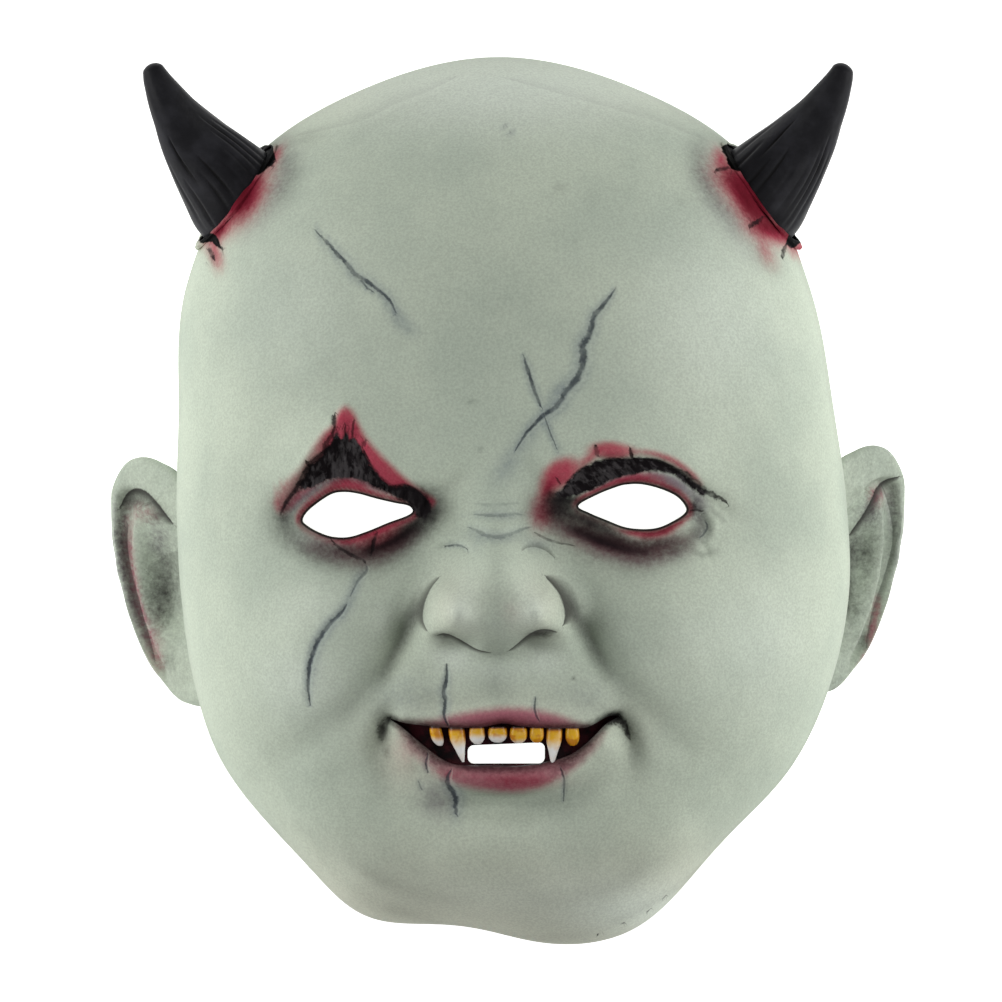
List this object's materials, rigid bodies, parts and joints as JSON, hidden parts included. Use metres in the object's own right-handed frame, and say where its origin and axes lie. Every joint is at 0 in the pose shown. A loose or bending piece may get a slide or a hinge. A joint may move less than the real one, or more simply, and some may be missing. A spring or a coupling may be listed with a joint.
{
  "type": "devil mask",
  "caption": "Open-backed latex devil mask: a bald pale face with cut eye and mouth holes, yellow teeth with fangs, large ears and curved black horns.",
  "frame": {"origin": "the middle of the whole mask's box, in the plane of the rim that it lies on", "axes": "+Z out of the face, +Y towards the crown, +X to the viewer's right"},
  "size_m": [0.277, 0.3006, 0.1581],
  "materials": {
    "skin_latex": "matt painted latex, grey-green with red and black airbrushing",
    "horn_latex": "satin black latex with fine lengthwise grooves"
  },
  "bodies": {
    "root": {"mask_shell": "skin_latex", "horn_left": "horn_latex", "horn_right": "horn_latex"}
  },
  "joints": []
}
